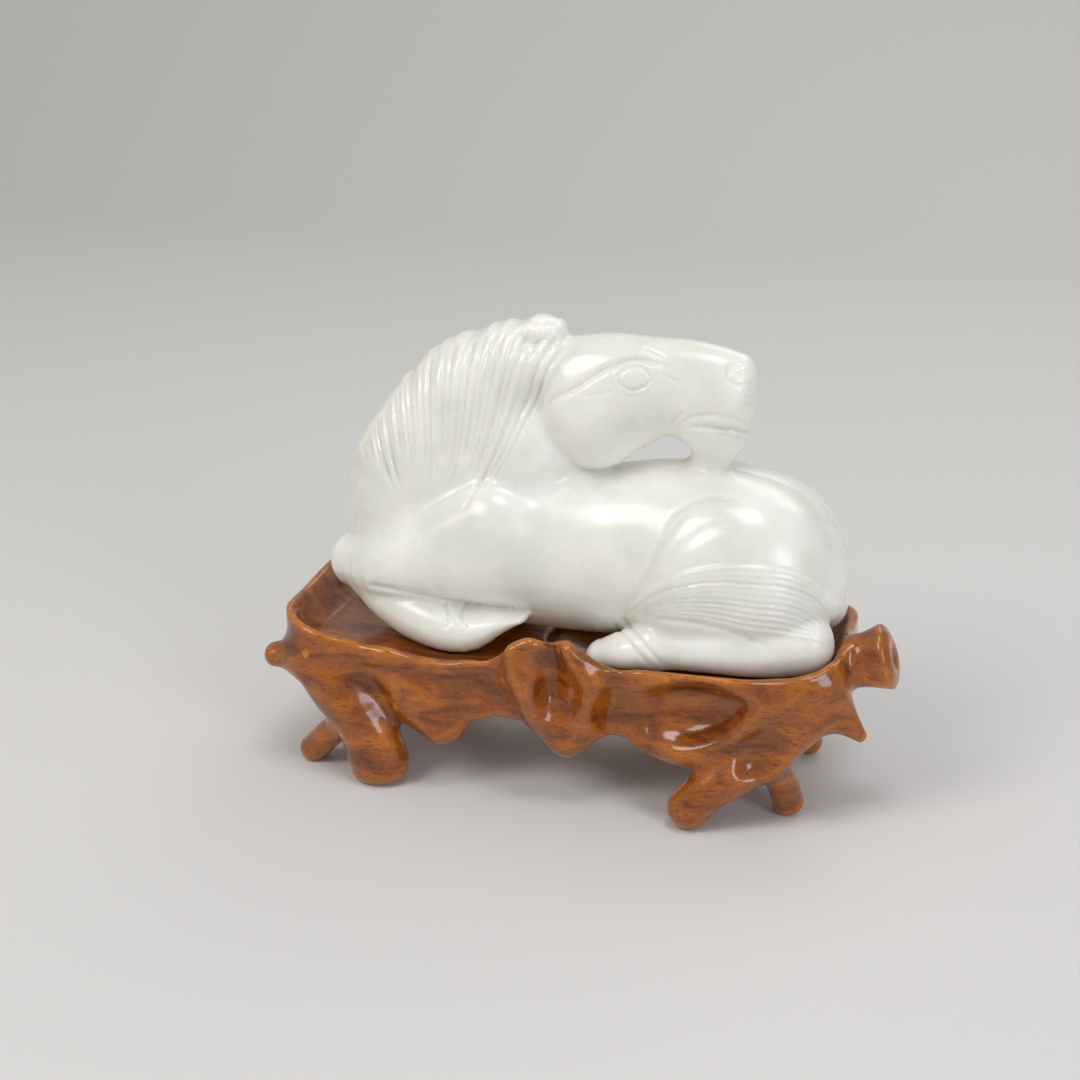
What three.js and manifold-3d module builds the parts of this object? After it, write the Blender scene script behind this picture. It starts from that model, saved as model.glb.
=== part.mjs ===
// A horse carved from one piece of pale jade, lying with its legs folded under it and its head turned back
// over its rump, and the carved root-wood stand made to hold it.
// Millimetres, +Z up. It is drawn with +X towards the rump and the muzzle, and -Y on the side of the near
// flank, about a point on the ground under the middle of the tray. At the end both pieces are moved so that
// the origin is on the ground under the middle of the box around them.
//
// Both pieces are carved forms. Each is written as a field, a function that is negative inside the form and
// about the distance to its surface elsewhere. Limbs and masses are joined with rounded seams, carving is cut
// into them, and the surface where the field is zero becomes the mesh.
import * as THREE from "three";
import { mergeVertices } from "three/addons/utils/BufferGeometryUtils.js";
import Module from "manifold-3d";

const wasm = await Module();
wasm.setup();

// Driving sizes of the horse. Its pose and proportions are given below in hundredths of its length.
const HORSE_LENGTH = 100;
const HORSE_OFFSET = 1.5; // how far the horse sits from the middle of the tray, towards the right end

// Driving sizes of the stand.
const STAND_HEIGHT = 25.7; // ground to the floor of the tray
const TRAY_LENGTH = 105;
const TRAY_DEPTH = 42;
const TRAY_CORNER = 9; // radius of its corners in plan
const RIM_WIDTH = 1.6; // across the top of the rim
const RIM_SLOPE_RATIO = 0.6; // how far the inside of the rim runs inwards as it drops
const FLOOR_THICKNESS = 6.5;
const APRON_THICKNESS = 6.5;
const BACK_CLOSER_RATIO = 1.08; // how much closer together the lobes and feet of the back stand
const APRON_LEAN_RATIO = 0.16; // how far the outside of the apron runs inwards as it drops
const SEAT_GAP = 0.4; // between the jade and the wood around it

// How finely the surface is followed, and how many triangles are kept.
const HORSE_CELL = 0.85;
const STAND_CELL = 1.15;
const HORSE_TRIANGLE_COUNT = 6300;
const STAND_TRIANGLE_COUNT = 3500;
const SPLINE_STEP_COUNT = 4; // straight steps between two stations of a limb

// Fields

// The union of two forms, with the seam between them rounded over `blend`.
function join(a, b, blend) {
  const near = Math.max(blend - Math.abs(a - b), 0) / blend;
  return Math.min(a, b) - (near * near * blend) / 4;
}

// The first form less the second, with the edge of the cut rounded over `blend`.
function cut(a, b, blend) {
  return -join(-a, b, blend);
}

// What two forms share, with the edge between them rounded over `blend`.
function share(a, b, blend) {
  return -join(-a, -b, blend);
}

// 0 on the `from` side, 1 on the `to` side, and smooth between.
function ease(from, to, value) {
  const t = THREE.MathUtils.clamp((value - from) / (to - from), 0, 1);
  return t * t * (3 - 2 * t);
}

// A smooth line in the side view through points [x, z], as a height for each x.
function profile(points) {
  return (x) => {
    const next = points.findIndex(([px]) => px > x);
    if (next === 0) return points[0][1];
    if (next < 0) return points[points.length - 1][1];
    const [ax, az] = points[next - 1];
    const [bx, bz] = points[next];
    const t = (x - ax) / (bx - ax);
    return az + (bz - az) * (0.6 * ease(0, 1, t) + 0.4 * t);
  };
}

// About the distance from a point, given as three components, to an ellipsoid of three radii.
function ellipsoidDistance(u, v, w, a, b, c) {
  const inner = Math.hypot(u / a, v / b, w / c);
  const slope = Math.hypot(u / (a * a), v / (b * b), w / (c * c));
  return slope < 1e-9 ? -Math.min(a, b, c) : (inner * (inner - 1)) / slope;
}

// An ellipsoid about a centre, with radii along x, y and z, turned in the side view by `tilt` degrees.
function blob(centre, radii, tilt = 0) {
  const [cx, cy, cz] = centre;
  const [a, b, c] = radii;
  const cos = Math.cos(THREE.MathUtils.degToRad(tilt));
  const sin = Math.sin(THREE.MathUtils.degToRad(tilt));
  return (x, y, z) => {
    const u = (x - cx) * cos + (z - cz) * sin;
    const w = (z - cz) * cos - (x - cx) * sin;
    return ellipsoidDistance(u, y - cy, w, a, b, c);
  };
}

// A limb that follows a spline. Each station is [x, y, z, half width across the body, half height], and the
// ends are rounded over the lengths `startCap` and `endCap`.
function limb(stations, startCap, endCap) {
  const spline = (points) => new THREE.CatmullRomCurve3(points, false, "catmullrom", 0.5);
  const centres = spline(stations.map(([x, y, z]) => new THREE.Vector3(x, y, z)));
  const halves = spline(stations.map(([, , , wide, tall]) => new THREE.Vector3(wide, tall, 0)));
  const steps = (stations.length - 1) * SPLINE_STEP_COUNT;
  const joints = [];
  for (let i = 0; i <= steps; i++) {
    const along = centres.getPoint(Math.min(i + 0.5, steps) / steps);
    along.sub(centres.getPoint(Math.max(i - 0.5, 0) / steps)).normalize();
    const across = new THREE.Vector3(0, 1, 0).addScaledVector(along, -along.y).normalize();
    const up = new THREE.Vector3().crossVectors(along, across);
    joints.push({ at: centres.getPoint(i / steps), along, across, up, half: halves.getPoint(i / steps) });
  }
  return (x, y, z) => {
    let best = Infinity;
    let first = joints[0];
    let second = joints[1];
    let part = 0;
    for (let i = 0; i < steps; i++) {
      const a = joints[i].at;
      const b = joints[i + 1].at;
      const lx = b.x - a.x;
      const ly = b.y - a.y;
      const lz = b.z - a.z;
      const run = (x - a.x) * lx + (y - a.y) * ly + (z - a.z) * lz;
      const t = Math.min(Math.max(run / (lx * lx + ly * ly + lz * lz), 0), 1);
      const away = (x - a.x - t * lx) ** 2 + (y - a.y - t * ly) ** 2 + (z - a.z - t * lz) ** 2;
      if (away < best) {
        best = away;
        first = joints[i];
        second = joints[i + 1];
        part = t;
      }
    }
    const mix = (p, q) => p + (q - p) * part;
    const dx = x - mix(first.at.x, second.at.x);
    const dy = y - mix(first.at.y, second.at.y);
    const dz = z - mix(first.at.z, second.at.z);
    const dot = (name) =>
      dx * mix(first[name].x, second[name].x) +
      dy * mix(first[name].y, second[name].y) +
      dz * mix(first[name].z, second[name].z);
    let v = dot("across");
    let w = dot("up");
    const wide = mix(first.half.x, second.half.x);
    const tall = mix(first.half.y, second.half.y);
    const past = dot("along");
    const beforeStart = first === joints[0] && part === 0 && past < 0;
    const afterEnd = second === joints[steps] && part === 1 && past > 0;
    if (beforeStart || afterEnd) {
      return ellipsoidDistance(past, v, w, beforeStart ? startCap : endCap, wide, tall);
    }
    const stretch = Math.sqrt(best) / Math.max(Math.hypot(v, w), 1e-9);
    v *= stretch;
    w *= stretch;
    return ellipsoidDistance(0, v, w, 1, wide, tall);
  };
}

// The distance in the side view from a point to a line carved through the points given, negative on the
// left of the line as it runs.
function carvedLine(points) {
  const spline = new THREE.SplineCurve(points.map(([x, z]) => new THREE.Vector2(x, z)));
  const dots = spline.getPoints((points.length - 1) * SPLINE_STEP_COUNT);
  return (x, z) => {
    let nearest = Infinity;
    for (let i = 1; i < dots.length; i++) {
      const px = x - dots[i - 1].x;
      const pz = z - dots[i - 1].y;
      const bx = dots[i].x - dots[i - 1].x;
      const bz = dots[i].y - dots[i - 1].y;
      const t = Math.min(Math.max((px * bx + pz * bz) / (bx * bx + bz * bz), 0), 1);
      const away = Math.hypot(px - t * bx, pz - t * bz);
      if (away < Math.abs(nearest)) nearest = bx * pz - bz * px > 0 ? -away : away;
    }
    return nearest;
  };
}

// How deep a groove of this width and depth is at a distance from its middle.
function groove(distance, width, depth) {
  return depth * Math.exp(-((distance / width) ** 2));
}

// The horse, in hundredths of its length: x towards the rump, y away from the near flank, z up from its base.
// The stations of the legs are those of the near side, and the far side mirrors them.
const trunk = limb(
  [
    [-33, 0, 13, 10.5, 10],
    [-20, 0, 17.8, 13.5, 15],
    [-7, 0, 17.8, 14, 16],
    [6, 0, 17.8, 14, 16.1],
    [19, 0, 19, 14.5, 16.6],
    [31, 0, 17.2, 14, 15.8],
  ],
  9,
  15.4,
);
const shoulder = limb(
  [
    [-43.2, -3, 12, 5.5, 5.5],
    [-35, -7, 13.5, 8, 7],
    [-25, -9, 17, 8, 9],
    [-14, -9.5, 20.5, 7, 11],
  ],
  4.8,
  9,
);
const throat = blob([-11, -1, 36], [12, 9, 12], 30);
const haunch = blob([32.5, -6, 18.6], [15.6, 11, 13], -22);
const thigh = blob([23, -9.5, 15.5], [11, 8, 12.5], -25);
const shank = limb(
  [
    [17, -12, 4.8, 5, 4.4],
    [27, -12.5, 5.2, 5, 4.5],
    [36, -12, 5.6, 5, 5],
    [44.5, -11, 7, 5, 5.5],
  ],
  4,
  4.5,
);
const hindHoof = limb(
  [
    [7.4, -13, 2.3, 3.6, 2.4],
    [12, -13.2, 3.6, 4.6, 3.6],
    [17, -12.8, 5, 4.6, 4.4],
  ],
  3,
  3,
);
const foreleg = limb(
  [
    [-42.2, -4, 11, 4.5, 3],
    [-35, -8.5, 7.5, 5, 4.4],
    [-27, -11.5, 5, 5, 4.9],
    [-19, -12.3, 3.8, 5, 4.2],
    [-12.5, -12, 6, 4.2, 2.3],
    [-8.4, -12, 7.2, 3.2, 0.9],
  ],
  4,
  1.6,
);
const neck = limb(
  [
    [-31, 0, 16, 10, 11],
    [-31, 0, 27, 11, 14],
    [-26, -0.5, 37, 10.8, 13.1],
    [-20, -1, 45.5, 9.8, 11.8],
    [-12.5, -1.5, 51.5, 8.2, 9],
    [-6, -2, 53.5, 7, 5.2],
  ],
  8,
  5,
);
const face = limb(
  [
    [1, -2, 46.4, 7.8, 12],
    [8, -2, 48.5, 7.8, 11],
    [15, -2, 50, 7, 9],
    [22, -2, 50.3, 6.2, 8.3],
    [28.5, -2, 49.6, 5.6, 7.4],
  ],
  7,
  3.6,
);
const cheek = blob([2.5, -3.5, 44.5], [8.5, 6.5, 10.2], 25);
const chin = limb(
  [
    [24, -2, 45, 4.8, 6.9],
    [24.8, -1.8, 42, 4.6, 6.1],
    [24.7, -0.9, 39.6, 4.3, 4.7],
    [24.1, 0.3, 37.4, 4.2, 3.6],
    [23.6, 1.6, 34.5, 4.6, 3.6],
  ],
  3,
  3,
);
const forelock = limb(
  [
    [-11.5, -2, 58, 5, 2.6],
    [-8, -2, 59.5, 4.6, 2.4],
    [-4.5, -2, 59, 4, 2.2],
  ],
  3,
  2,
);
const tailRoot = limb(
  [
    [42.5, 0, 26, 3, 3],
    [46.5, -3, 20, 4.5, 3],
    [46, -6, 13.5, 5.5, 4],
  ],
  3,
  3,
);

// Carved lines of the near side, as points [x, z].
const browLine = carvedLine([
  [-4.6, 40],
  [-4.4, 45],
  [-2, 48],
  [3, 51],
  [8.5, 54.5],
  [13, 55.3],
  [18.5, 53.8],
]);
const mouthLine = carvedLine([
  [19.5, 43.6],
  [23, 44.9],
  [27, 44.7],
  [35, 44.6],
]);
const lipLine = carvedLine([
  [18.6, 43.8],
  [20.5, 46.2],
  [23.5, 47.3],
  [28, 47.2],
  [34, 46.8],
]);
const thighLine = carvedLine([
  [29.8, 32],
  [24.5, 31],
  [20.5, 28],
  [17, 23],
  [14.3, 17],
  [11.6, 11],
]);
const forelegLine = carvedLine([
  [-38, 9.7],
  [-30, 8.6],
  [-22, 7.6],
  [-13, 7.4],
  [-6, 8],
]);
const tailTop = carvedLine([
  [52, 9],
  [49.5, 15.5],
  [46, 20],
  [40, 22.4],
  [33, 22.8],
  [27, 22.2],
  [21.5, 20.3],
  [16.5, 17],
  [12, 11.5],
]);
const tailFoot = carvedLine([
  [52, 6.5],
  [47, 8.6],
  [40, 9.6],
  [33, 10.2],
  [26, 11],
  [18, 11.4],
  [12, 9.8],
]);
const shankLine = carvedLine([
  [16, 9.4],
  [24, 9.6],
  [32, 8.6],
  [39.5, 6],
]);
const hoofCuts = [
  carvedLine([[11, 8], [13.5, 4], [17.5, 0]]),
  carvedLine([[-22.5, 8], [-23.5, 5.5], [-21.5, 3]]),
];

// The hair of the mane fans out from one point low on the neck.
const MANE_ROOT = [-25, 13];
const CREST_NOTCHES = [-9.5, 7.5, 17]; // degrees, where its outline is nicked
const MANE_FLUTE_ANGLE = 5.6; // degrees from one flute to the next
const TAIL_FLUTE_COUNT = 4;

function horseShape(x, y, z) {
  const side = -Math.abs(y);
  let body = trunk(x, y, z);
  body = join(body, haunch(x, side, z), 7);
  body = join(body, thigh(x, side, z), 3);
  body = join(body, shoulder(x, side, z), 4);
  body = join(body, join(neck(x, y, z), throat(x, y, z), 5), 2.5);
  body = join(body, tailRoot(x, y, z), 2);
  let legs = join(shank(x, side, z), hindHoof(x, side, z), 2);
  legs = Math.min(legs, foreleg(x, side, z));
  body = join(body, legs, 1);
  const skull = join(face(x, y, z), cheek(x, -2 - Math.abs(y + 2), z), 2);
  body = join(body, forelock(x, y, z), 2);
  body = join(body, skull, 1.6);
  body = join(body, chin(x, y, z), 2.5);
  return Math.abs(body) < 2.5 ? body + carving(x, y, z) : body;
}

// How much is cut away from the rounded form at a point near its surface.
function carving(x, y, z) {
  const side = -Math.abs(y);
  let depth = 0;
  const reach = Math.hypot(x - MANE_ROOT[0], z - MANE_ROOT[1]);
  const angle = THREE.MathUtils.radToDeg(Math.atan2(x - MANE_ROOT[0], z - MANE_ROOT[1]));
  if (z > 22 && angle > -40 && angle < 30) {
    const within = ease(19, 26, reach) * ease(-40, -27, angle) * ease(30, 27, angle) * ease(3, 6, -side);
    const wave = Math.cos((angle / MANE_FLUTE_ANGLE) * 2 * Math.PI);
    depth += 0.3 * within * (1 - wave);
    for (const notch of CREST_NOTCHES) depth += groove(angle - notch, 2, 0.8) * ease(8, 3, Math.abs(y));
  }
  if (z > 36 && x > -8) {
    depth += groove(browLine(x, z), 0.9, 0.7);
    depth += groove(mouthLine(x, z), 0.8, 0.6);
    depth += groove(lipLine(x, z), 0.7, 0.3);
    const eye = Math.hypot((x - 11.3) / 3.3, (z - 53 - 0.12 * (x - 11.3)) / 2);
    depth += groove((eye - 1) * 2.1, 0.7, 0.45) - 0.12 * ease(1, 0.3, eye);
    const nostril = Math.hypot(x - 29.2, z - 53.6);
    depth += groove(nostril - 1.9, 0.7, 0.55);
  }
  if (z < 33 && y < 0 && x > 5) {
    const above = tailTop(x, z);
    const below = tailFoot(x, z);
    depth += groove(thighLine(x, z), 1, 0.7) + groove(shankLine(x, z), 0.7, 0.5);
    if (above < 2 && below > -2) {
      const share = above / (above - below);
      const within = ease(0.6, -0.6, above) * ease(-0.6, 0.6, below) * ease(49.5, 46, x);
      depth += within * (0.22 - 0.22 * Math.cos(share * TAIL_FLUTE_COUNT * 2 * Math.PI) - 0.6);
    }
  }
  if (z < 12) {
    depth += groove(forelegLine(x, z), 0.8, 0.7);
    for (const line of hoofCuts) depth += groove(line(x, z), 0.6, 0.5);
  }
  return depth;
}

// The horse where it lies on the stand.
const horseScale = HORSE_LENGTH / 100;
const horseBase = STAND_HEIGHT + 0.75 * SEAT_GAP;
function horseField(x, y, z) {
  return (
    horseScale *
    horseShape((x - HORSE_OFFSET) / horseScale, y / horseScale, (z - horseBase) / horseScale)
  );
}

// The stand. It is drawn 105 long, 42 deep and 25.7 high to the floor of its tray, and stretched to its
// driving sizes. Its front is drawn, and its back is the front turned half a turn about the middle.
const stretch = [TRAY_LENGTH / 105, TRAY_DEPTH / 42, STAND_HEIGHT / 25.7];
const leastStretch = Math.min(...stretch);
const rimFront = profile([
  [-54, 33],
  [-50, 31],
  [-40, 29],
  [-30, 27.2],
  [-20, 26.3],
  [-13, 27.2],
  [-8, 29.2],
  [-3, 32.2],
  [1, 33],
  [4, 32.2],
  [7, 30.3],
  [10, 29.2],
  [15, 28.8],
  [35, 29],
  [43, 29.8],
  [48, 30.8],
  [51, 32],
  [54, 34],
]);
const rimBack = profile([
  [-54, 33],
  [-44, 30.5],
  [-20, 28.5],
  [0, 30],
  [20, 28.5],
  [44, 29.5],
  [54, 30.5],
]);
const apronEdge = profile([
  [-54, 21.5],
  [-48, 19.5],
  [-44, 13],
  [-38, 11.5],
  [-26, 11.8],
  [-22.5, 9.6],
  [-20.5, 8.8],
  [-18, 9.8],
  [-14.5, 13.6],
  [-10, 15],
  [-5, 14.8],
  [-1, 12.8],
  [2, 10.2],
  [3.5, 9.8],
  [7, 12],
  [11, 13.7],
  [16, 13.5],
  [21, 12],
  [25, 11.3],
  [36, 11],
  [43, 12.5],
  [47, 19],
  [54, 21],
]);
const roots = [
  // the root that runs from the left end down to the left foot
  limb(
    [
      [-47, -17, 22.5, 3.6, 4],
      [-41, -18, 17.5, 4.4, 5],
      [-35.5, -18.6, 11, 4.8, 5.4],
      [-33, -19, 4.8, 4.6, 5.8],
      [-32.6, -19.2, 2.4, 4.4, 5.4],
    ],
    2.4,
    3,
  ),
  // its smaller toe
  limb(
    [
      [-38, -17, 11.5, 3, 3],
      [-42.6, -15.5, 8, 2.8, 2.8],
      [-48, -13.8, 2.3, 2.8, 2.8],
    ],
    2,
    2.6,
  ),
  // the left lobe
  limb(
    [
      [-31, -19, 25, 2, 3],
      [-25.5, -19, 18, 3.2, 4.5],
      [-20.8, -17.8, 12, 3, 3.2],
    ],
    3,
    3,
  ),
  // the fold in the middle, between two hollows
  limb(
    [
      [-3.5, -19, 31, 1.6, 1.8],
      [-4.5, -19.8, 26, 2.2, 2.2],
      [-1, -19.3, 19, 3, 3.4],
      [3, -17.6, 13, 3, 3],
    ],
    1.6,
    3,
  ),
  limb(
    [
      [3.5, -19.2, 31, 1.6, 1.6],
      [9.4, -20, 25, 1.8, 1.8],
      [8, -19, 18, 2.4, 2.6],
      [4, -17.4, 13, 3, 3],
    ],
    1.6,
    3,
  ),
  // the right lobe, and the root that climbs from it to the right end
  limb(
    [
      [19, -18.4, 15.6, 2.8, 3.2],
      [26, -19.5, 14, 3, 3],
      [34, -20.4, 18.5, 2.6, 2.8],
      [42, -20, 25.5, 2.4, 2.6],
      [50, -16.5, 28.5, 2.4, 2.4],
    ],
    2.6,
    3,
  ),
  // the root that runs from the right end down to the right foot
  limb(
    [
      [50, -15, 26, 4, 4],
      [45, -17, 20, 4.2, 4.6],
      [38.5, -18.5, 13.5, 4.4, 4.6],
      [30.8, -20.8, 7.5, 4, 4],
      [27, -22, 3.4, 3.8, 3.8],
    ],
    3,
    3.6,
  ),
  // its smaller toe
  limb(
    [
      [41, -16.5, 12, 3, 3],
      [42.8, -14, 7, 2.9, 2.9],
      [43.8, -12.2, 2.4, 2.9, 2.9],
    ],
    2,
    2.6,
  ),
];
const knob = limb(
  [
    [-47, -16, 23.5, 4, 4],
    [-52, -16, 22.4, 2.8, 2.6],
    [-54, -16, 22.2, 2.6, 2.4],
  ],
  3,
  2.2,
);
const spike = limb(
  [
    [48, -15, 24.5, 4.5, 4.5],
    [52.5, -15.5, 22, 2.8, 3.2],
    [56.5, -16, 18.8, 1, 1.2],
  ],
  3,
  1,
);
const knot = limb(
  [
    [49, -9, 28.5, 5, 5],
    [54, -9, 29.8, 4.2, 4.6],
    [59.5, -9, 31.5, 5.4, 6],
  ],
  3,
  2,
);
const knotHollow = blob([64.5, -10, 33], [4.2, 3.6, 4.2], 0);
const hollows = [
  blob([26, -25.2, 22.6], [11, 7.4, 6], 15),
  blob([40.5, -23.6, 15.5], [5.5, 4, 4], 40),
  blob([-12, -24, 20.5], [6, 5.2, 6.4], 0),
  blob([2, -24.6, 24.5], [3.2, 4.8, 8.5], 0),
  blob([14, -24, 19], [5, 5, 6], 0),
];
const bellyHollow = blob([3.5, 0, 25.7], [8, 9, 5]);

function standField(x, y, z) {
  const qx = Math.abs(x) - TRAY_LENGTH / 2 + TRAY_CORNER;
  const qy = Math.abs(y) - TRAY_DEPTH / 2 + TRAY_CORNER;
  const outline = Math.hypot(Math.max(qx, 0), Math.max(qy, 0)) + Math.min(Math.max(qx, qy), 0) - TRAY_CORNER;
  const [u, v, w] = [x / stretch[0], y / stretch[1], z / stretch[2]];
  const turned = u * (y < 0 ? 1 : -BACK_CLOSER_RATIO);
  const drawn = (form) => leastStretch * form(turned, -Math.abs(v), w);
  const once = (form) => leastStretch * form(u, v, w);
  const front = ease(6, -6, v);
  const rim = stretch[2] * (rimFront(u) * front + rimBack(u) * (1 - front));
  const edge = stretch[2] * (apronEdge(u) * front + apronEdge(-BACK_CLOSER_RATIO * u) * (1 - front));
  const leaning = outline + APRON_LEAN_RATIO * Math.max(stretch[2] * 26 - z, 0);
  let wood = share(leaning, z - rim, leastStretch);
  wood = share(wood, edge - z, 3 * leastStretch);
  const under = share(leaning + APRON_THICKNESS, z - (STAND_HEIGHT - FLOOR_THICKNESS), 5 * leastStretch);
  wood = cut(wood, under, 1.5 * leastStretch);
  for (const root of roots) wood = join(wood, drawn(root), 3 * leastStretch);
  for (const hollow of hollows) wood = cut(wood, drawn(hollow), 2 * leastStretch);
  wood = join(wood, once(knob), 3 * leastStretch);
  wood = join(wood, once(spike), 3 * leastStretch);
  wood = join(wood, cut(once(knot), once(knotHollow), leastStretch), 3 * leastStretch);
  const dish = outline + RIM_WIDTH + RIM_SLOPE_RATIO * (rim - z);
  wood = cut(wood, share(dish, STAND_HEIGHT - z, 3 * leastStretch), 0.8 * leastStretch);
  wood = cut(wood, once(bellyHollow), leastStretch);
  wood = Math.max(wood, SEAT_GAP - horseField(x, y, z));
  return wood;
}

// Surface

// The surface where a field is zero, found by splitting a grid of cubes into tetrahedra, so that it is
// always closed. Returns its corners and triangles.
function surfaceOf(field, low, high, cell) {
  const count = low.map((v, i) => Math.ceil((high[i] - v) / cell) + 1);
  const [nx, ny, nz] = count;
  const index = (i, j, k) => (k * ny + j) * nx + i;
  const at = (n) => [
    low[0] + cell * (n % nx),
    low[1] + cell * (Math.floor(n / nx) % ny),
    low[2] + cell * Math.floor(n / (nx * ny)),
  ];
  // The field is sampled in blocks, and a block that is far from the surface takes one value throughout.
  // The outermost samples are kept outside the form, so that it is closed even where it meets the box.
  const values = new Float64Array(nx * ny * nz);
  const block = 4;
  for (let k0 = 0; k0 < nz; k0 += block) {
    for (let j0 = 0; j0 < ny; j0 += block) {
      for (let i0 = 0; i0 < nx; i0 += block) {
        const centre = [i0, j0, k0].map((v, i) => low[i] + cell * (v + (block - 1) / 2));
        const whole = field(...centre);
        const near = Math.abs(whole) < 1.5 * block * cell;
        for (let k = k0; k < Math.min(k0 + block, nz); k++) {
          for (let j = j0; j < Math.min(j0 + block, ny); j++) {
            for (let i = i0; i < Math.min(i0 + block, nx); i++) {
              const n = index(i, j, k);
              const inner = i > 0 && j > 0 && k > 0 && i < nx - 1 && j < ny - 1 && k < nz - 1;
              values[n] = Math.max(near ? field(...at(n)) : whole, inner ? -Infinity : cell / 4) || 1e-9;
            }
          }
        }
      }
    }
  }
  const corners = [];
  const known = new Map();
  const crossing = (a, b) => {
    const key = Math.min(a, b) * values.length + Math.max(a, b);
    if (!known.has(key)) {
      const p = at(a);
      const q = at(b);
      const share = THREE.MathUtils.clamp(values[a] / (values[a] - values[b]), 0.02, 0.98);
      known.set(key, corners.length);
      corners.push(p.map((v, i) => v + share * (q[i] - v)));
    }
    return known.get(key);
  };
  // Each cube's six tetrahedra share its long diagonal, and each is a walk along the three axes in turn.
  const walks = [[0, 1, 2], [1, 2, 0], [2, 0, 1], [0, 2, 1], [2, 1, 0], [1, 0, 2]];
  const stride = [1, nx, nx * ny];
  const triangles = [];
  for (let k = 0; k < nz - 1; k++) {
    for (let j = 0; j < ny - 1; j++) {
      for (let i = 0; i < nx - 1; i++) {
        const first = index(i, j, k);
        let inside = 0;
        for (let n = 0; n < 8; n++) {
          inside += values[first + (n & 1) + ((n >> 1) & 1) * nx + (n >> 2) * nx * ny] < 0 ? 1 : 0;
        }
        if (inside === 0 || inside === 8) continue;
        walks.forEach((walk, w) => {
          const tet = [first];
          for (const axis of walk) tet.push(tet[tet.length - 1] + stride[axis]);
          if (w >= 3) [tet[1], tet[2]] = [tet[2], tet[1]];
          splitTetrahedron(tet, values, crossing, triangles);
        });
      }
    }
  }
  return { corners, triangles };
}

// Adds the triangle or two where the surface passes through a tetrahedron whose corners turn clockwise.
function splitTetrahedron(tet, values, crossing, triangles) {
  const inside = tet.filter((n) => values[n] < 0);
  const outside = tet.filter((n) => values[n] >= 0);
  if (!inside.length || !outside.length) return;
  // An even reordering of the corners keeps the turn, so the parity says which way a triangle faces.
  const order = [...inside, ...outside].map((n) => tet.indexOf(n));
  let swaps = 0;
  for (let a = 0; a < 4; a++) for (let b = a + 1; b < 4; b++) if (order[a] > order[b]) swaps++;
  const add = (a, b, c) => triangles.push(swaps % 2 ? [a, c, b] : [a, b, c]);
  const p = [...inside, ...outside];
  if (inside.length === 1) {
    add(crossing(p[0], p[1]), crossing(p[0], p[2]), crossing(p[0], p[3]));
  } else if (inside.length === 3) {
    add(crossing(p[3], p[0]), crossing(p[3], p[1]), crossing(p[3], p[2]));
  } else {
    const [a, b, c, d] = [
      crossing(p[0], p[2]),
      crossing(p[0], p[3]),
      crossing(p[1], p[3]),
      crossing(p[1], p[2]),
    ];
    add(a, b, c);
    add(a, c, d);
  }
}

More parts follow.
